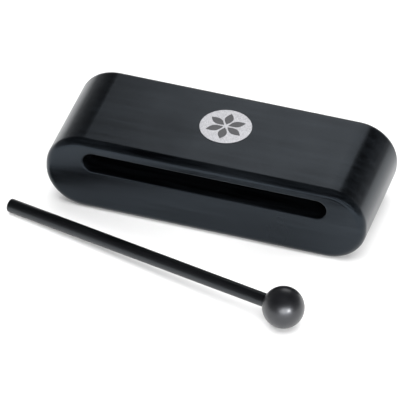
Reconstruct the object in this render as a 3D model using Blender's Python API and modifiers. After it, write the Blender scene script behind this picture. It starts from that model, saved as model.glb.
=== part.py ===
"""Wood block with its beater, at real size.

A solid block with round ends carries a long sound slot in its front face and a round badge on top.
A separate beater, a ball on a dowel, lies on the table in front of it.

Frame: metres, +Z up, +X along the block's length, the slotted front face towards -Y.
The origin is the middle of the block's underside, which stands on the table.
"""

import bpy
import bmesh
import math
from mathutils import Matrix, Vector

# Block
BLOCK_LENGTH = 0.190
BLOCK_DEPTH = 0.070
BLOCK_HEIGHT = 0.048
END_RADIUS = 0.023          # corners of the front outline, nearly half the height
END_FLAT = 0.001            # least flat left between the two corners of an end
EDGE_ROUND = 0.0045         # rounding round the front and the back face

# Sound slot, milled into the front face
SLOT_HEIGHT = 0.012
LIP_THICKNESS = 0.008       # sounding wood left above the slot
SLOT_END_WOOD = 0.023       # wood left past each end of the slot
SLOT_BACK_WOOD = 0.020      # wood left behind the slot
RIM_EASE = 0.001            # softened edges of the slot

# Badge on the top
BADGE_DIAMETER = 0.030
BADGE_THICKNESS = 0.0006
BADGE_EDGE = 0.0002         # softened edge of the badge
BADGE_RIGHT = 0.0008        # from the block's middle towards +X
BADGE_BACK = 0.0038         # from the block's middle towards +Y

# Beater
BEATER_LENGTH = 0.195       # from the ball's crown to the butt
BALL_DIAMETER = 0.024
STICK_DIAMETER = 0.008
STICK_END_ROUND = 0.0007    # softened ends of the dowel
HOLE_DEPTH = 0.014          # blind hole in the ball, from its mouth
BALL_RIGHT = 0.0663         # ball's centre from the block's middle towards +X
BALL_TO_BLOCK = 0.0494      # clear space between the ball and the block's front face
BEATER_TURN = math.radians(14.6)    # dowel's slant on the table, butt nearer the block

# Clearance between pieces that touch on the real object
SEAT_GAP = 0.0003

# Smoothness of round shapes
CORNER_STEPS = 14
ROUND_STEPS = 4
SLOT_SIDES = 32
BADGE_SIDES = 64
TURN_SIDES = 36
BALL_RINGS = 18

# Sizes that follow from those above
corner_radius = min(END_RADIUS, (BLOCK_HEIGHT - END_FLAT) / 2)
edge_round = min(EDGE_ROUND, 0.9 * corner_radius, 0.45 * BLOCK_DEPTH)
front_y = -BLOCK_DEPTH / 2
slot_radius = SLOT_HEIGHT / 2
slot_centre_z = BLOCK_HEIGHT - LIP_THICKNESS - slot_radius
slot_centre_x = BLOCK_LENGTH / 2 - SLOT_END_WOOD - slot_radius
slot_depth = BLOCK_DEPTH - SLOT_BACK_WOOD
ball_radius = BALL_DIAMETER / 2
stick_radius = STICK_DIAMETER / 2
hole_radius = stick_radius + SEAT_GAP
butt_reach = BEATER_LENGTH - ball_radius
hole_mouth = math.sqrt(ball_radius ** 2 - hole_radius ** 2)
hole_floor = hole_mouth - HOLE_DEPTH


def clear_scene():
    for thing in list(bpy.data.objects):
        bpy.data.objects.remove(thing, do_unlink=True)


def new_collection(name):
    collection = bpy.data.collections.new(name)
    bpy.context.scene.collection.children.link(collection)
    return collection


def plain_material(name, colour, roughness, metallic=0.0):
    material = bpy.data.materials.new(name)
    material.use_nodes = True
    shader = material.node_tree.nodes["Principled BSDF"]
    shader.inputs["Base Color"].default_value = (*colour, 1.0)
    shader.inputs["Roughness"].default_value = roughness
    shader.inputs["Metallic"].default_value = metallic
    material.diffuse_color = (*colour, 1.0)
    return material


def object_from_bmesh(name, bm, collection, material=None):
    """Turn the bmesh into an object shaded smooth, but sharp past 35 degrees."""
    mesh = bpy.data.meshes.new(name)
    bm.to_mesh(mesh)
    bm.free()
    mesh.shade_smooth()
    mesh.set_sharp_from_angle(angle=math.radians(35))
    if material:
        mesh.materials.append(material)
    thing = bpy.data.objects.new(name, mesh)
    collection.objects.link(thing)
    return thing


def box(bm, low, high):
    """A box between two corners."""
    size = Vector(high) - Vector(low)
    middle = (Vector(high) + Vector(low)) / 2
    place = Matrix.Translation(middle) @ Matrix.Diagonal((*size, 1.0))
    bmesh.ops.create_cube(bm, size=1.0, matrix=place)


def round_edges(bm, chosen, radius, steps):
    bmesh.ops.bevel(bm, geom=chosen, offset=radius, segments=steps, profile=0.5,
                    affect='EDGES', clamp_overlap=True)


def make_block(collection, material):
    """The billet: a box with its long corners turned round, then its front and back edges eased."""
    bm = bmesh.new()
    box(bm, (-BLOCK_LENGTH / 2, front_y, 0.0), (BLOCK_LENGTH / 2, -front_y, BLOCK_HEIGHT))
    along_depth = [e for e in bm.edges if abs(e.verts[0].co.y - e.verts[1].co.y) > BLOCK_DEPTH / 2]
    round_edges(bm, along_depth, corner_radius, CORNER_STEPS)
    around_faces = [e for e in bm.edges if abs(e.verts[0].co.y - e.verts[1].co.y) < BLOCK_DEPTH / 2]
    round_edges(bm, around_faces, edge_round, ROUND_STEPS)
    return object_from_bmesh("block_body", bm, collection, material)


def make_slot_cutter(collection):
    """The path of the milling cutter: a circle at each end of the slot, in front and at its floor,
    with a convex skin drawn over all four."""
    bm = bmesh.new()
    overrun = edge_round + RIM_EASE
    for side in (-1, 1):
        for y in (front_y - overrun, front_y + slot_depth):
            place = Matrix.Translation((side * slot_centre_x, y, slot_centre_z))
            place = place @ Matrix.Rotation(math.pi / 2, 4, 'X')
            bmesh.ops.create_circle(bm, cap_ends=False, segments=SLOT_SIDES, radius=slot_radius,
                                    matrix=place)
    hull = bmesh.ops.convex_hull(bm, input=bm.verts)
    bmesh.ops.delete(bm, geom=hull["geom_unused"], context='VERTS')
    bmesh.ops.delete(bm, geom=[e for e in bm.edges if not e.link_faces], context='EDGES')
    bmesh.ops.recalc_face_normals(bm, faces=bm.faces)
    cutter = object_from_bmesh("slot_cutter", bm, collection)
    cutter.hide_render = True
    cutter.display_type = 'WIRE'
    return cutter


def cut_slot(block, cutter):
    """Mill the slot, then ease its rim and the corners at its floor."""
    milling = block.modifiers.new("sound_slot", 'BOOLEAN')
    milling.operation = 'DIFFERENCE'
    milling.solver = 'EXACT'
    milling.object = cutter
    easing = block.modifiers.new("eased_rim", 'BEVEL')
    easing.limit_method = 'ANGLE'
    easing.angle_limit = math.radians(60)
    easing.width = RIM_EASE
    easing.segments = 3


def make_badge(collection, material):
    """A thin disc on the top of the block."""
    bm = bmesh.new()
    bottom = BLOCK_HEIGHT + SEAT_GAP
    place = Matrix.Translation((BADGE_RIGHT, BADGE_BACK, bottom + BADGE_THICKNESS / 2))
    bmesh.ops.create_cone(bm, cap_ends=True, segments=BADGE_SIDES, radius1=BADGE_DIAMETER / 2,
                          radius2=BADGE_DIAMETER / 2, depth=BADGE_THICKNESS, matrix=place)
    middle_z = bottom + BADGE_THICKNESS / 2
    top_rim = [e for e in bm.edges if all(v.co.z > middle_z for v in e.verts)]
    round_edges(bm, top_rim, min(BADGE_EDGE, BADGE_THICKNESS / 2), 1)
    return object_from_bmesh("badge_disc", bm, collection, material)


def beater_tilt():
    """Tilt at which the ball and the butt's rounded lower edge both touch the table."""
    reach = butt_reach - STICK_END_ROUND
    half = stick_radius - STICK_END_ROUND
    drop = ball_radius - STICK_END_ROUND
    return math.asin(drop / math.hypot(reach, half)) - math.atan2(half, reach)


def make_beater_frame(collection):
    """An empty at the ball's centre, whose own Z runs up the dowel to the butt."""
    frame = bpy.data.objects.new("beater_frame", None)
    frame.empty_display_size = ball_radius
    frame.location = (BALL_RIGHT, front_y - BALL_TO_BLOCK - ball_radius, ball_radius)
    frame.rotation_euler = (0.0, -math.pi / 2 - beater_tilt(), -BEATER_TURN)
    collection.objects.link(frame)
    return frame


def make_stick(collection, material, frame):
    """The dowel, from the hole's floor to the butt."""
    bm = bmesh.new()
    start = hole_floor + SEAT_GAP
    length = butt_reach - start
    place = Matrix.Translation((0.0, 0.0, start + length / 2))
    bmesh.ops.create_cone(bm, cap_ends=True, segments=TURN_SIDES, radius1=stick_radius,
                          radius2=stick_radius, depth=length, matrix=place)
    end_rims = [e for e in bm.edges if abs(e.verts[0].co.z - e.verts[1].co.z) < length / 2]
    round_edges(bm, end_rims, STICK_END_ROUND, 3)
    stick = object_from_bmesh("beater_stick", bm, collection, material)
    stick.parent = frame
    return stick


def make_ball(collection, material, frame):
    """The ball, turned from a half outline: floor and wall of its hole, then round the outside."""
    outline = [(0.0, hole_floor), (hole_radius, hole_floor)]
    mouth_angle = math.atan2(hole_mouth, hole_radius)
    for ring in range(BALL_RINGS + 1):
        angle = mouth_angle + (-math.pi / 2 - mouth_angle) * ring / BALL_RINGS
        outline.append((ball_radius * math.cos(angle), ball_radius * math.sin(angle)))
    outline[-1] = (0.0, -ball_radius)
    bm = bmesh.new()
    points = [bm.verts.new((x, 0.0, z)) for x, z in outline]
    for first, second in zip(points, points[1:]):
        bm.edges.new((first, second))
    ball = object_from_bmesh("beater_ball", bm, collection, material)
    turning = ball.modifiers.new("turning", 'SCREW')
    turning.axis = 'Z'
    turning.steps = TURN_SIDES
    turning.render_steps = TURN_SIDES
    turning.use_merge_vertices = True
    turning.merge_threshold = 0.00001
    ball.parent = frame
    return ball


def build():
    clear_scene()
    parts = new_collection("wood_block")
    cutters = new_collection("cutters")
    lacquer = plain_material("black_lacquer", (0.018, 0.020, 0.024), 0.38)
    badge_metal = plain_material("pale_badge", (0.72, 0.72, 0.73), 0.45, metallic=0.6)
    beater_black = plain_material("beater_black", (0.022, 0.022, 0.024), 0.42)

    block = make_block(parts, lacquer)
    cut_slot(block, make_slot_cutter(cutters))
    make_badge(parts, badge_metal)
    frame = make_beater_frame(parts)
    make_stick(parts, beater_black, frame)
    make_ball(parts, beater_black, frame)


build()
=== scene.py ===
# %% [markdown]
# A wood block is a solid billet of hardwood with one deep slot milled into its front. The thin lip of
# wood above the slot rings when a ball-headed beater strikes it. This lesson dresses a measured model
# of one: it lays fine surfaces over the plain solids, then paints, lights and frames them.
# The plain solids come first, because every fine surface takes its size and place from them.

# %% Load the measured model
import bpy
import bmesh
import math
import numpy as np
from mathutils import Matrix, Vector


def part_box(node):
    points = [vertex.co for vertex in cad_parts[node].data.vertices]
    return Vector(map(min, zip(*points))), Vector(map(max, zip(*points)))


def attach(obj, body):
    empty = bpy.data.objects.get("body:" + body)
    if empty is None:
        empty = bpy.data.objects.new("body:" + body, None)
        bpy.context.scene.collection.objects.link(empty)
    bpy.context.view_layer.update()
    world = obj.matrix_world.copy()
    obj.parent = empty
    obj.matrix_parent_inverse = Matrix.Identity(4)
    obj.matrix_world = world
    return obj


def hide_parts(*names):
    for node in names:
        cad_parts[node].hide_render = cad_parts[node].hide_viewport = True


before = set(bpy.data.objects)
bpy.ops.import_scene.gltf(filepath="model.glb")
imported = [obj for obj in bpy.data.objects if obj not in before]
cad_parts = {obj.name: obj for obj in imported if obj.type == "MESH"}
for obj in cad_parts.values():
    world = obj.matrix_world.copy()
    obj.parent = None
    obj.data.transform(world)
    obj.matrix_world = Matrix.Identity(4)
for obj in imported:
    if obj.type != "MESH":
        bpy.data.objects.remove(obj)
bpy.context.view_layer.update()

# %% [markdown]
# Every surface here is a sheet of points, rows by columns. The columns run round the piece and close
# on themselves, and the rows run along it. A row whose points all meet is a pole or a seam, so doubles
# are merged there, and the sheet becomes one closed skin. One function does this for all pieces. A
# primitive with modifiers could give some of these shapes, but a sheet gives them all in one way.

# %% From a grid of points to a closed piece
MEETS = 1e-7                # points closer than this, in metres, are one point


def grid_quads(grid):
    """Number the points row by row, and join each to its neighbours in the next column and row."""
    rows, columns = grid.shape[:2]
    here = np.arange(rows * columns).reshape(rows, columns)
    beside = np.roll(here, -1, axis=1)
    return np.stack([here[:-1], beside[:-1], beside[1:], here[1:]], axis=-1).reshape(-1, 4)


def skin(name, grid, body, material):
    """Join grid[row, column] to its neighbours with quads, wrapping the columns, and merge what meets."""
    mesh = bpy.data.meshes.new(name)
    mesh.from_pydata(grid.reshape(-1, 3).tolist(), [], grid_quads(grid).tolist())
    bm = bmesh.new()
    bm.from_mesh(mesh)
    bmesh.ops.remove_doubles(bm, verts=bm.verts, dist=MEETS)
    bmesh.ops.recalc_face_normals(bm, faces=bm.faces)
    bm.to_mesh(mesh)
    bm.free()
    mesh.shade_smooth()
    mesh.materials.append(material)
    piece = bpy.data.objects.new(name, mesh)
    bpy.context.scene.collection.objects.link(piece)
    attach(piece, body)
    print(name, "has", len(mesh.polygons), "faces")
    return piece


def eased(count):
    """Steps from 0 to 1 that crowd together at both ends: half of one less the cosine of a half turn."""
    return (1 - np.cos(np.linspace(0, math.pi, count))) / 2


def rows_between(first, last, steps):
    """Rows from the first to the last, crowded at both ends."""
    first, last = np.array(first), np.array(last)
    return first + (last - first) * eased(steps)[:, None]


# %% [markdown]
# A material is a small network of nodes. The same few nodes come back in every one of them, so each
# gets a short function: a fresh material, a range stretched over another, a noise, and a blend of two
# colours.


# %% Helpers for shader nodes
def new_material(name):
    """A material, with its nodes, its links and its Principled shader at hand."""
    material = bpy.data.materials.new(name)
    material.use_nodes = True
    tree = material.node_tree
    return material, tree.nodes, tree.links, tree.nodes["Principled BSDF"]


def ramp(nodes, low, high, dark=0.0, light=1.0):
    """A Map Range node that spreads low..high over dark..light."""
    node = nodes.new('ShaderNodeMapRange')
    node.inputs['From Min'].default_value = low
    node.inputs['From Max'].default_value = high
    node.inputs['To Min'].default_value = dark
    node.inputs['To Max'].default_value = light
    return node


def noise(nodes, scale, detail, rough):
    """A noise: how fine it is, how many finer layers lie on it, and how strong each of those is."""
    node = nodes.new('ShaderNodeTexNoise')
    node.inputs['Scale'].default_value = scale
    node.inputs['Detail'].default_value = detail
    node.inputs['Roughness'].default_value = rough
    return node


def two_colours(nodes, links, mask, first, second):
    """The first colour where the mask is 0, the second where it is 1."""
    node = nodes.new('ShaderNodeMix')
    node.data_type = 'RGBA'
    node.inputs['A'].default_value = (*first, 1.0)
    node.inputs['B'].default_value = (*second, 1.0)
    links.new(mask, node.inputs['Factor'])
    return node.outputs['Result']


def new_group(name, inputs, outputs):
    """An empty shader node group with its sockets, its input node and its output node."""
    group = bpy.data.node_groups.new(name, 'ShaderNodeTree')
    for label, kind, value in inputs:
        socket = group.interface.new_socket(label, in_out='INPUT', socket_type=kind)
        if value is not None:
            socket.default_value = value
    for label, kind in outputs:
        group.interface.new_socket(label, in_out='OUTPUT', socket_type=kind)
    return group, group.nodes.new('NodeGroupInput'), group.nodes.new('NodeGroupOutput')


# %% [markdown]
# The paint is black, but no lacquered wood is one flat black. Under the coat the grain still shows as
# faint streaks along the length, and the sheen is a little duller in some places than in others.
# Both effects go into node groups, so that the block and the beater can share them with other values.

# %% Wood grain
BLOCK_STRETCH = (9.0, 110.0, 110.0)     # the noise is short across the grain and long along it


def grain_group():
    """Streaks along X: noise on a space that is stretched along the grain, kept where it is high."""
    group, given, result = new_group(
        "wood_grain",
        [("Vector", 'NodeSocketVector', None), ("Stretch", 'NodeSocketVector', BLOCK_STRETCH)],
        [("Streaks", 'NodeSocketFloat'), ("Pores", 'NodeSocketFloat')])
    nodes, links = group.nodes, group.links
    stretch = nodes.new('ShaderNodeVectorMath')
    stretch.operation = 'MULTIPLY'
    broad = noise(nodes, scale=2.2, detail=5.0, rough=0.62)
    fine = noise(nodes, scale=9.0, detail=3.0, rough=0.55)
    keep_broad = ramp(nodes, 0.40, 0.70)
    keep_fine = ramp(nodes, 0.56, 0.70)
    links.new(given.outputs['Vector'], stretch.inputs[0])
    links.new(given.outputs['Stretch'], stretch.inputs[1])
    links.new(stretch.outputs[0], broad.inputs['Vector'])
    links.new(stretch.outputs[0], fine.inputs['Vector'])
    links.new(broad.outputs['Fac'], keep_broad.inputs['Value'])
    links.new(fine.outputs['Fac'], keep_fine.inputs['Value'])
    links.new(keep_broad.outputs['Result'], result.inputs['Streaks'])
    links.new(keep_fine.outputs['Result'], result.inputs['Pores'])
    return group


GRAIN = grain_group()
print("made the group", GRAIN.name)


# %% Lacquer sheen
def sheen_group():
    """Slow cloudy change in sheen plus a fine orange-peel ripple, as sprayed and rubbed lacquer has."""
    group, given, result = new_group(
        "lacquer_sheen",
        [("Vector", 'NodeSocketVector', None), ("Dull", 'NodeSocketFloat', 0.42),
         ("Bright", 'NodeSocketFloat', 0.32)],
        [("Roughness", 'NodeSocketFloat'), ("Ripple", 'NodeSocketFloat')])
    nodes, links = group.nodes, group.links
    clouds = noise(nodes, scale=30.0, detail=3.0, rough=0.5)
    ripple = noise(nodes, scale=900.0, detail=2.0, rough=0.5)
    spread = ramp(nodes, 0.3, 0.7)
    links.new(given.outputs['Vector'], clouds.inputs['Vector'])
    links.new(given.outputs['Vector'], ripple.inputs['Vector'])
    links.new(clouds.outputs['Fac'], spread.inputs['Value'])
    links.new(given.outputs['Bright'], spread.inputs['To Min'])
    links.new(given.outputs['Dull'], spread.inputs['To Max'])
    links.new(spread.outputs['Result'], result.inputs['Roughness'])
    links.new(ripple.outputs['Fac'], result.inputs['Ripple'])
    return group


SHEEN = sheen_group()
print("made the group", SHEEN.name)

# %% [markdown]
# The lacquer itself is one Principled shader. Its colour comes from the grain, its roughness from the
# sheen, and a very shallow bump lets the pores and the ripple catch the light. The beater is dipped in
# a thicker, duller paint, so it uses the same recipe with its own values. A cool specular tint gives
# the reflections a faint blue cast, stronger on the block than on the beater.

# %% Painted wood
PORE_DEPTH = 0.8            # how far a pore sinks, as a share of the ripple's height


def painted_wood(name, deep, pale, sheen, stretch, turn, bump, coat, ior, tint):
    """Black paint over wood. Deep and pale are the two colours that the streaks mix. Sheen is the
    least and greatest roughness, bump is a strength and a height, and coat a weight and a roughness."""
    material, nodes, links, shader = new_material(name)
    shader.inputs['IOR'].default_value = ior
    shader.inputs['Specular Tint'].default_value = (*tint, 1.0)
    shader.inputs['Coat Weight'].default_value, shader.inputs['Coat Roughness'].default_value = coat
    place = nodes.new('ShaderNodeTexCoord')
    along = nodes.new('ShaderNodeMapping')
    along.inputs['Rotation'].default_value = turn
    links.new(place.outputs['Object'], along.inputs['Vector'])
    grain = nodes.new('ShaderNodeGroup')
    grain.node_tree = GRAIN
    grain.inputs['Stretch'].default_value = stretch
    links.new(along.outputs['Vector'], grain.inputs['Vector'])
    gloss = nodes.new('ShaderNodeGroup')
    gloss.node_tree = SHEEN
    gloss.inputs['Bright'].default_value, gloss.inputs['Dull'].default_value = sheen
    links.new(along.outputs['Vector'], gloss.inputs['Vector'])
    colour = two_colours(nodes, links, grain.outputs['Streaks'], deep, pale)
    links.new(colour, shader.inputs['Base Color'])
    links.new(gloss.outputs['Roughness'], shader.inputs['Roughness'])
    relief = nodes.new('ShaderNodeMath')
    relief.operation = 'MULTIPLY_ADD'
    relief.inputs[1].default_value = -PORE_DEPTH
    links.new(grain.outputs['Pores'], relief.inputs[0])
    links.new(gloss.outputs['Ripple'], relief.inputs[2])
    raised = nodes.new('ShaderNodeBump')
    raised.inputs['Strength'].default_value, raised.inputs['Distance'].default_value = bump
    links.new(relief.outputs['Value'], raised.inputs['Height'])
    links.new(raised.outputs['Normal'], shader.inputs['Normal'])
    print("made the paint", name)
    return material


block_lacquer = painted_wood(
    "block_lacquer", deep=(0.0004, 0.0005, 0.0007), pale=(0.0038, 0.0046, 0.0056),
    sheen=(0.21, 0.28), stretch=BLOCK_STRETCH, turn=(0.0, 0.0, 0.0),
    bump=(0.25, 0.00003), coat=(0.0, 0.2), ior=1.4, tint=(0.66, 0.82, 1.0))

# %% [markdown]
# The block is one surface from end to end. Its front outline is a rounded rectangle: four corner
# centres with an arm turning about them. The slot is the same figure with a shorter arm. So a single
# walk round the outline serves for every row, and the rows lead from the middle of the slot's floor,
# up its wall, over the eased rim, across the face, round the edge, along the block and over the back.
# Cutting the slot with a Boolean would also do, but it leaves no even grid for a smooth shine.

# %% Sizes of the block
block_low, block_high = (np.array(v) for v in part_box("block_body"))
BLOCK = block_high - block_low
CORNER = 0.023              # corner radius of the front outline
EDGE = 0.0045               # rounding round the front and back faces
SLOT_HIGH = 0.012           # height of the slot
LIP = 0.008                 # wood above the slot
SLOT_SIDE_WOOD = 0.023      # wood past each end of the slot
SLOT_BACK_WOOD = 0.020      # wood behind the slot
RIM = 0.001                 # softened edge of the slot
print("block, mm:", np.round(1000 * BLOCK, 1))


# %% The walk round an outline
def walk(corner_steps, long_steps, short_steps):
    """Signs of the corner centre and angle of the arm, once round: the arm turns a quarter at each
    corner and keeps its angle while the centre moves on to the next corner."""
    quarter = np.linspace(0, math.pi / 2, corner_steps, endpoint=False)
    signs, angles = [], []
    corners = [(1, 1), (-1, 1), (-1, -1), (1, -1)]
    for index, corner in enumerate(corners):
        following = corners[(index + 1) % 4]
        steps = long_steps if index % 2 == 0 else short_steps
        slide = eased(steps + 1)[:-1, None]
        signs.append(np.tile(corner, (corner_steps, 1)))
        signs.append(np.array(corner) * (1 - slide) + np.array(following) * slide)
        angles.append(quarter + index * math.pi / 2)
        angles.append(np.full(steps, (index + 1) * math.pi / 2))
    return np.concatenate(signs), np.concatenate(angles)


def outline_rows(rows, signs, angles):
    """Each row is y, the corner centre's x and z, the arm and the middle's z. A point is the middle,
    plus the signed corner centre, plus the arm at its angle."""
    y, corner_x, corner_z, arm, middle = (column[:, None] for column in np.asarray(rows).T)
    x = corner_x * signs[:, 0] + arm * np.cos(angles)
    z = middle + corner_z * signs[:, 1] + arm * np.sin(angles)
    return np.stack([x, np.broadcast_to(y, x.shape), z], axis=-1)


# %% The rows, from the slot's floor to the middle of the back
def quarter_rows(start, y_way, arm_way, radius, leaves_face, steps):
    """Rows of a quarter round between a face and a wall. Leaving a face, y changes by the radius times
    one less the cosine, and the arm by the radius times the sine. Leaving a wall, they change places."""
    turn = np.linspace(0, math.pi / 2, steps)
    near, far = 1 - np.cos(turn), np.sin(turn)
    along_y, along_arm = (near, far) if leaves_face else (far, near)
    rows = np.tile(np.array(start, float), (steps, 1))
    rows[:, 0] += y_way * radius * along_y
    rows[:, 3] += arm_way * radius * along_arm
    return rows


def block_rows():
    """Each tuple is a row where one stretch ends and the next begins."""
    front, back = block_low[1], block_high[1]
    slot_arm = SLOT_HIGH / 2
    slot_x = BLOCK[0] / 2 - SLOT_SIDE_WOOD - slot_arm
    slot_z = block_high[2] - LIP - slot_arm
    floor = back - SLOT_BACK_WOOD
    corner_x, corner_z = BLOCK[0] / 2 - CORNER, BLOCK[2] / 2 - CORNER
    middle = (block_low[2] + block_high[2]) / 2
    slot_middle = (floor, slot_x, 0, 0, slot_z)
    slot_edge = (floor, slot_x, 0, slot_arm - RIM, slot_z)
    wall_foot = (floor - RIM, slot_x, 0, slot_arm, slot_z)
    wall_top = (front + RIM, slot_x, 0, slot_arm, slot_z)
    rim_face = (front, slot_x, 0, slot_arm + RIM, slot_z)
    face_edge = (front, corner_x, corner_z, CORNER - EDGE, middle)
    side_front = (front + EDGE, corner_x, corner_z, CORNER, middle)
    side_back = (back - EDGE, corner_x, corner_z, CORNER, middle)
    back_edge = (back, corner_x, corner_z, CORNER - EDGE, middle)
    back_middle = (back, corner_x, 0, 0, middle)
    return np.concatenate([
        rows_between(slot_middle, slot_edge, steps=6),
        quarter_rows(slot_edge, -1, 1, RIM, leaves_face=True, steps=6)[1:],
        rows_between(wall_foot, wall_top, steps=16)[1:],
        quarter_rows(wall_top, -1, 1, RIM, leaves_face=False, steps=8)[1:],
        rows_between(rim_face, face_edge, steps=14)[1:],
        quarter_rows(face_edge, 1, 1, EDGE, leaves_face=True, steps=14)[1:],
        rows_between(side_front, side_back, steps=30)[1:],
        quarter_rows(side_back, 1, -1, EDGE, leaves_face=False, steps=14)[1:],
        rows_between(back_edge, back_middle, steps=14)[1:],
    ])


# %% Lay the block's surface
signs, angles = walk(corner_steps=28, long_steps=44, short_steps=4)
block = skin("block_surface", outline_rows(block_rows(), signs, angles), "block",
             block_lacquer)
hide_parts("block_body")

# %% [markdown]
# The badge, the ball and the dowel are all round, so each is a half outline spun about an axis. A Screw
# modifier does the same, but here the axis may slant and the rows can crowd where the shape bends.


# %% Turned pieces
def turned(profile, origin, axis, columns):
    """Spin the profile's (radius, height) rows about an axis: the point is the origin, plus the height
    along the axis, plus the radius along an arm that goes once round it. The arm starts square to the
    axis and to Y, so the axis may slant but not lie along Y."""
    axis = np.array(axis, float) / np.linalg.norm(axis)
    side = np.cross(axis, (0.0, 1.0, 0.0))
    side /= np.linalg.norm(side)
    other = np.cross(axis, side)
    turn = np.linspace(0, 2 * math.pi, columns, endpoint=False)
    arm = np.cos(turn)[:, None] * side + np.sin(turn)[:, None] * other
    radius, height = profile[:, 0], profile[:, 1]
    return np.array(origin) + height[:, None, None] * axis + radius[:, None, None] * arm[None]


def arc(centre, radius, start, end, steps):
    """Profile points on an arc, from one angle to another in degrees."""
    angle = np.radians(np.linspace(start, end, steps))
    return np.stack([centre[0] + radius * np.cos(angle), centre[1] + radius * np.sin(angle)], axis=-1)


# %% [markdown]
# The badge is a thin disc pressed from pale metal, and glued down. Its foil sparkles, because each
# tiny flake in it is a little lighter and shinier, or darker and duller, than the next. A Voronoi
# pattern gives every cell a random value, so it drives the colour and the roughness together.

# %% Badge foil with a fine sparkle
FLAKE_SCALE = 2600.0        # flakes per metre, so that one is about 0.4 mm across
FOIL_DARK, FOIL_LIGHT = (0.25, 0.25, 0.265), (0.50, 0.50, 0.52)


def badge_material():
    """Flat cells of random brightness: dark cells are dull, and light cells are shinier."""
    material, nodes, links, shader = new_material("badge_foil")
    place = nodes.new('ShaderNodeTexCoord')
    flakes = nodes.new('ShaderNodeTexVoronoi')
    flakes.inputs['Scale'].default_value = FLAKE_SCALE
    links.new(place.outputs['Object'], flakes.inputs['Vector'])
    bright = ramp(nodes, 0.0, 1.0)
    links.new(flakes.outputs['Color'], bright.inputs['Value'])
    colour = two_colours(nodes, links, bright.outputs['Result'], FOIL_DARK, FOIL_LIGHT)
    links.new(colour, shader.inputs['Base Color'])
    dull = ramp(nodes, 0.0, 1.0, dark=0.62, light=0.42)
    links.new(flakes.outputs['Color'], dull.inputs['Value'])
    links.new(dull.outputs['Result'], shader.inputs['Roughness'])
    shader.inputs['Metallic'].default_value = 0.25
    return material


badge_foil = badge_material()
print("made the finish", badge_foil.name)

# %% [markdown]
# The disc is flat under, round at its rim and very slightly crowned on top, so that it catches the
# light unevenly as a pressed disc does. It lies straight on the wood.

# %% Badge disc
badge_low, badge_high = (np.array(v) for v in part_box("badge_disc"))
BADGE_RADIUS = (badge_high[0] - badge_low[0]) / 2
BADGE_THICK = 0.00045       # height of the top where it meets the rim
BADGE_RIM = 0.0002          # rounding of the upper edge
BADGE_CROWN = 0.00006       # how much higher the middle is than the rim
badge_flat = BADGE_RADIUS - BADGE_RIM
badge_seat = np.array([*(badge_low + badge_high)[:2] / 2, block_high[2]])


def badge_top(radius):
    """Height of the crowned top above the wood: the thickness, plus a parabola that ends at the rim."""
    return BADGE_THICK + BADGE_CROWN * (1 - (radius / badge_flat) ** 2)


inwards = np.linspace(badge_flat, 0, 16)
badge_profile = np.concatenate([
    np.linspace((0, 0), (BADGE_RADIUS, 0), 6),
    arc((badge_flat, BADGE_THICK - BADGE_RIM), BADGE_RIM, 0, 90, 6),
    np.stack([inwards, badge_top(inwards)], axis=-1)[1:],
])
badge = skin("badge_plate", turned(badge_profile, badge_seat, (0, 0, 1), 128), "block",
             badge_foil)
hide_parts("badge_disc")

# %% [markdown]
# The printed figure is a plain rosette of six petals. Ink has a little thickness, so each petal is a
# very flat seed that lies in the foil's surface, and not a picture painted on it. One function makes
# a petal for any turn about the badge's middle, and a loop makes all six.

# %% Printing ink
INK_DARK, INK_LIGHT = (0.030, 0.030, 0.033), (0.080, 0.080, 0.084)


def ink_material():
    """Dark ink that is a little uneven, because it takes less well in some places."""
    material, nodes, links, shader = new_material("printed_ink")
    place = nodes.new('ShaderNodeTexCoord')
    mottle = noise(nodes, scale=1500.0, detail=2.0, rough=0.5)
    links.new(place.outputs['Object'], mottle.inputs['Vector'])
    colour = two_colours(nodes, links, mottle.outputs['Fac'], INK_DARK, INK_LIGHT)
    links.new(colour, shader.inputs['Base Color'])
    shader.inputs['Roughness'].default_value = 0.5
    return material


badge_ink = ink_material()
print("made the ink", badge_ink.name)

# %% Rosette
PETALS = 6
PETAL_START, PETAL_TIP = 0.0014, 0.0118     # distances from the badge's middle
PETAL_HALF = 0.0025         # half of a petal's width
INK = 0.00003               # height of the ink at a petal's middle
ROSETTE_TURN = math.radians(30)             # from +X to the first petal


def petal_grid(turn):
    """A flat seed: along its line it swells and shrinks as a sine, and round it the columns run over
    an ellipse, wide across the badge and thin upwards. It follows the badge's slight crown."""
    along = np.linspace(0, 1, 25)[:, None]
    around = np.linspace(0, 2 * math.pi, 16, endpoint=False)[None]
    swell = np.sin(math.pi * along)
    reach = PETAL_START + (PETAL_TIP - PETAL_START) * along
    across = PETAL_HALF * swell * np.cos(around)
    x = reach * math.cos(turn) - across * math.sin(turn)
    y = reach * math.sin(turn) + across * math.cos(turn)
    z = badge_top(reach) + INK * swell * np.sin(around)
    return badge_seat + np.stack([x, y, z], axis=-1)


for petal in range(PETALS):
    skin(f"badge_petal_{petal + 1}", petal_grid(ROSETTE_TURN + 2 * math.pi * petal / PETALS),
         "block", badge_ink)

# %% [markdown]
# The beater lies on its ball and the end of its dowel, so its pieces are turned about a slanted axis.
# That axis is the long direction of the plain dowel's points, which a singular value decomposition
# finds, and the ball's centre lies one radius back from its crown.

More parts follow.
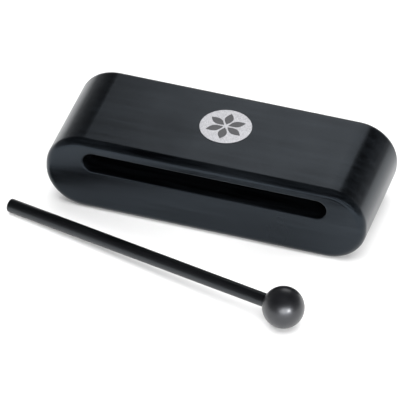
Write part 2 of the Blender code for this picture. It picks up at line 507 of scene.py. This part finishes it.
# %% The beater's axis, read from the plain solids
stick_points = np.array([v.co[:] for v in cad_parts["beater_stick"].data.vertices])
ball_points = np.array([v.co[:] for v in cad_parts["beater_ball"].data.vertices])
stick_middle = (stick_points.min(0) + stick_points.max(0)) / 2
beater_axis = np.linalg.svd(stick_points - stick_points.mean(0), full_matrices=False)[2][0]
beater_axis *= np.sign((stick_middle - ball_points.mean(0)) @ beater_axis)
BALL_RADIUS = (ball_points.max(0) - ball_points.min(0)).max() / 2
crown_at = ((ball_points - stick_middle) @ beater_axis).min()
ball_centre = stick_middle + (crown_at + BALL_RADIUS) * beater_axis
stick_along = (stick_points - ball_centre) @ beater_axis
stick_across = np.linalg.norm(stick_points - ball_centre - stick_along[:, None] * beater_axis, axis=1)
STICK_RADIUS = stick_across.max()
print("ball", round(2000 * BALL_RADIUS, 2), "mm, dowel", round(2000 * STICK_RADIUS, 2), "mm")
print("beater reaches", round(1000 * stick_along.max(), 1), "mm past the ball's centre")

# %% [markdown]
# The dowel and the ball share the block's recipe. The grain is turned about the vertical, so that it
# runs along the dowel. The ball's paint is a little paler and duller than the dowel's, and a thin clear
# coat over it sharpens its highlight.

# %% Beater paint
axis_turn = (0.0, 0.0, math.atan2(-beater_axis[1], beater_axis[0]))
beater_paint = painted_wood(
    "beater_paint", deep=(0.0010, 0.0011, 0.0013), pale=(0.0032, 0.0034, 0.0040),
    sheen=(0.30, 0.37), stretch=(14.0, 160.0, 160.0), turn=axis_turn,
    bump=(0.35, 0.00004), coat=(0.0, 0.2), ior=1.5, tint=(0.86, 0.93, 1.0))
ball_paint = painted_wood(
    "ball_paint", deep=(0.0025, 0.0026, 0.0032), pale=(0.0055, 0.0056, 0.0066),
    sheen=(0.34, 0.42), stretch=(30.0, 60.0, 60.0), turn=axis_turn,
    bump=(0.20, 0.00003), coat=(0.35, 0.22), ior=1.5, tint=(0.90, 0.93, 1.0))

# %% [markdown]
# The ball has a blind hole, and the dowel fills it but for a hairline of glue. The ball's half outline
# runs over the hole's floor, up its wall, over the softened mouth and round the outside to the crown.

# %% Ball
GLUE = 0.00004              # hairline between dowel and hole
HOLE_DEPTH = 0.014
MOUTH = 0.0003              # softened mouth of the hole
hole = STICK_RADIUS + GLUE
mouth_height = math.sqrt((BALL_RADIUS - MOUTH) ** 2 - (hole + MOUTH) ** 2)
mouth_lean = math.degrees(math.atan2(mouth_height, hole + MOUTH))
hole_floor = mouth_height - HOLE_DEPTH
ball_profile = np.concatenate([
    np.linspace((0, hole_floor), (hole, hole_floor), 4),
    rows_between((hole, hole_floor), (hole, mouth_height), 12)[1:],
    arc((hole + MOUTH, mouth_height), MOUTH, 180, mouth_lean, 7)[1:],
    arc((0, 0), BALL_RADIUS, mouth_lean, -90, 72)[1:],
])
ball_profile[-1, 0] = 0.0   # the crown is a pole, exactly on the axis
ball = skin("beater_head", turned(ball_profile, ball_centre, beater_axis, 96), "beater",
            ball_paint)
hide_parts("beater_ball")

# %% Dowel
END = 0.0009                # softened ends of the dowel
start, butt = hole_floor + GLUE, stick_along.max()
stick_profile = np.concatenate([
    np.linspace((0, start), (STICK_RADIUS - END, start), 5),
    arc((STICK_RADIUS - END, start + END), END, -90, 0, 7)[1:],
    rows_between((STICK_RADIUS, start + END), (STICK_RADIUS, butt - END), 60)[1:],
    arc((STICK_RADIUS - END, butt - END), END, 0, 90, 9)[1:],
    np.linspace((STICK_RADIUS - END, butt), (0, butt), 6)[1:],
])
stick = skin("beater_dowel", turned(stick_profile, ball_centre, beater_axis, 64), "beater",
             beater_paint)
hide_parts("beater_stick")

# %% [markdown]
# The floor is one plain white disc, far wider than the picture. It isn't part of the object, but much
# of what a glossy black thing shows is the room it stands in: the block's front face mirrors the floor
# before it.

# %% Floor
FLOOR_REACH = 12.0          # metres from the middle to the rim
FLOOR_DROP = 0.00005        # the floor lies a hair under the block
FLOOR_WHITE = 0.86


def make_floor():
    """Rings that widen by a steady factor: x and y are a ring's radius times the cosine and sine."""
    rings = np.concatenate([[0.0], np.geomspace(0.05, FLOOR_REACH, 24)])
    turn = np.linspace(0, 2 * math.pi, 64, endpoint=False)
    x, y = rings[:, None] * np.cos(turn), rings[:, None] * np.sin(turn)
    grid = np.stack([x, y, np.full_like(x, -FLOOR_DROP)], axis=-1)
    facing_up = grid_quads(grid)[:, ::-1]
    mesh = bpy.data.meshes.new("floor")
    mesh.from_pydata(grid.reshape(-1, 3).tolist(), [], facing_up.tolist())
    material, _, _, shader = new_material("white_sweep")
    shader.inputs['Base Color'].default_value = (FLOOR_WHITE, FLOOR_WHITE, FLOOR_WHITE, 1.0)
    shader.inputs['Roughness'].default_value = 0.9
    shader.inputs['Specular IOR Level'].default_value = 0.1
    mesh.materials.append(material)
    floor = bpy.data.objects.new("floor", mesh)
    bpy.context.scene.collection.objects.link(floor)
    print("floor reaches", FLOOR_REACH, "m")


make_floor()

# %% [markdown]
# The lights are worked out from what each part of the paint mirrors. A panel behind gives the top its
# sheen. The panel's left edge is mirrored near the block's left end, so the sheen fades there. Two
# fills are there for the floor and the badge, and are kept out of reflections. A faint strip low in
# front brightens the rounded front edge where it turns down at the right end. The last two lights shine
# on the beater alone: they put the highlight on the ball, but the block's flat top would mirror them to
# a viewer behind as one white sheet.


# %% Lights
def toward(azimuth, elevation):
    """Unit direction: azimuth from -Y towards +X, elevation above the floor, both in degrees."""
    turn, lift = math.radians(azimuth), math.radians(elevation)
    return np.array([math.sin(turn) * math.cos(lift), -math.cos(turn) * math.cos(lift), math.sin(lift)])


def soft_light(name, azimuth, elevation, distance, wide, high, watts, mirrored=True, matt=True,
               only=()):
    """A rectangular light that faces the block's middle from the given direction. It can be kept out
    of reflections, or out of matt surfaces such as the floor, or be shone on a few pieces only."""
    data = bpy.data.lights.new(name, 'AREA')
    data.shape = 'RECTANGLE'
    data.size, data.size_y = wide, high
    data.energy = watts
    lamp = bpy.data.objects.new(name, data)
    way = toward(azimuth, elevation)
    right = np.cross((0, 0, 1), way)
    right /= np.linalg.norm(right)
    up = np.cross(way, right)
    place = np.eye(4)
    place[:3, 0], place[:3, 1], place[:3, 2], place[:3, 3] = right, up, way, way * distance
    lamp.matrix_world = Matrix(place)
    lamp.visible_glossy = mirrored
    lamp.visible_diffuse = matt
    bpy.context.scene.collection.objects.link(lamp)
    if only:
        chosen = bpy.data.collections.new(name + "_pieces")
        for piece in only:
            chosen.objects.link(piece)
        lamp.light_linking.receiver_collection = chosen
    print(name, "gives", watts, "W")


soft_light("back_panel", 183, 36, distance=1.4, wide=0.7, high=0.55, watts=2.0)
soft_light("front_strip", 24, 17, distance=1.5, wide=1.1, high=0.13, watts=1.5)
soft_light("front_fill", 24, 17, distance=1.5, wide=1.1, high=0.13, watts=31.0, mirrored=False)
soft_light("beater_strip", 24, 17, distance=1.5, wide=1.1, high=0.13, watts=34.0, matt=False,
           only=(ball, stick))
soft_light("beater_key", 47, 16, distance=1.5, wide=0.14, high=0.16, watts=12.0, matt=False,
           only=(ball, stick))
soft_light("overhead_fill", 0, 88, distance=1.6, wide=2.4, high=2.4, watts=64.0, mirrored=False)

# %% [markdown]
# The room around is only a sky that grows darker upwards. It matters most on the rounded edge between
# the top and the front, whose reflections sweep over every height: the dark ceiling draws the dark
# band there.

# %% Room
ROOM_LOW = (0.85, 0.85, 0.86)
ROOM_HIGH = (0.02, 0.02, 0.02)
DARK_FROM = 0.62            # height on a unit sphere from which the room is dark
ROOM_STRENGTH = 0.6


def make_world():
    """The room by height above the horizon: light near the floor, dark overhead."""
    world = bpy.data.worlds.new("studio")
    bpy.context.scene.world = world
    world.use_nodes = True
    nodes, links = world.node_tree.nodes, world.node_tree.links
    background = nodes["Background"]
    place = nodes.new('ShaderNodeTexCoord')
    split = nodes.new('ShaderNodeSeparateXYZ')
    links.new(place.outputs['Generated'], split.inputs['Vector'])
    fade = nodes.new('ShaderNodeValToRGB')
    low_end, high_end = fade.color_ramp.elements
    low_end.position, low_end.color = 0.0, (*ROOM_LOW, 1)
    high_end.position, high_end.color = DARK_FROM, (*ROOM_HIGH, 1)
    links.new(split.outputs['Z'], fade.inputs['Fac'])
    links.new(fade.outputs['Color'], background.inputs['Color'])
    background.inputs['Strength'].default_value = ROOM_STRENGTH
    print("the room is dark above", round(math.degrees(math.asin(DARK_FROM))), "degrees")


make_world()
bpy.context.scene.view_settings.view_transform = 'Standard'

# %% [markdown]
# The camera stands far off with a long lens, because the block's far edges hardly shrink in the
# picture. Its place and turn were worked out from the outlines of the block, its slot and badge, and
# the beater.

# %% Camera
CAMERA_PLACE = np.array([0.7107, -2.3501, 2.0028])
CAMERA_TURN, CAMERA_TILT, CAMERA_ROLL = math.radians(17.11), math.radians(39.25), math.radians(0.81)
CAMERA_LENS = 497.8         # mm
SENSOR_WIDE = 36.0          # mm
SIGHT_END = 50.0            # metres that the camera sees

ahead = np.array([-math.sin(CAMERA_TURN) * math.cos(CAMERA_TILT),
                  math.cos(CAMERA_TURN) * math.cos(CAMERA_TILT), -math.sin(CAMERA_TILT)])
level = np.array([math.cos(CAMERA_TURN), math.sin(CAMERA_TURN), 0.0])
upward = np.cross(level, ahead)
right = level * math.cos(CAMERA_ROLL) + upward * math.sin(CAMERA_ROLL)
above = upward * math.cos(CAMERA_ROLL) - level * math.sin(CAMERA_ROLL)
stand = np.eye(4)
stand[:3, 0], stand[:3, 1], stand[:3, 2], stand[:3, 3] = right, above, -ahead, CAMERA_PLACE
camera_data = bpy.data.cameras.new("camera")
camera_data.lens = CAMERA_LENS
camera_data.sensor_width = SENSOR_WIDE
camera_data.clip_end = SIGHT_END
camera = bpy.data.objects.new("camera", camera_data)
camera.matrix_world = Matrix(stand)
bpy.context.scene.collection.objects.link(camera)
bpy.context.scene.camera = camera
print("camera stands", round(float(np.linalg.norm(CAMERA_PLACE)), 2), "m away")
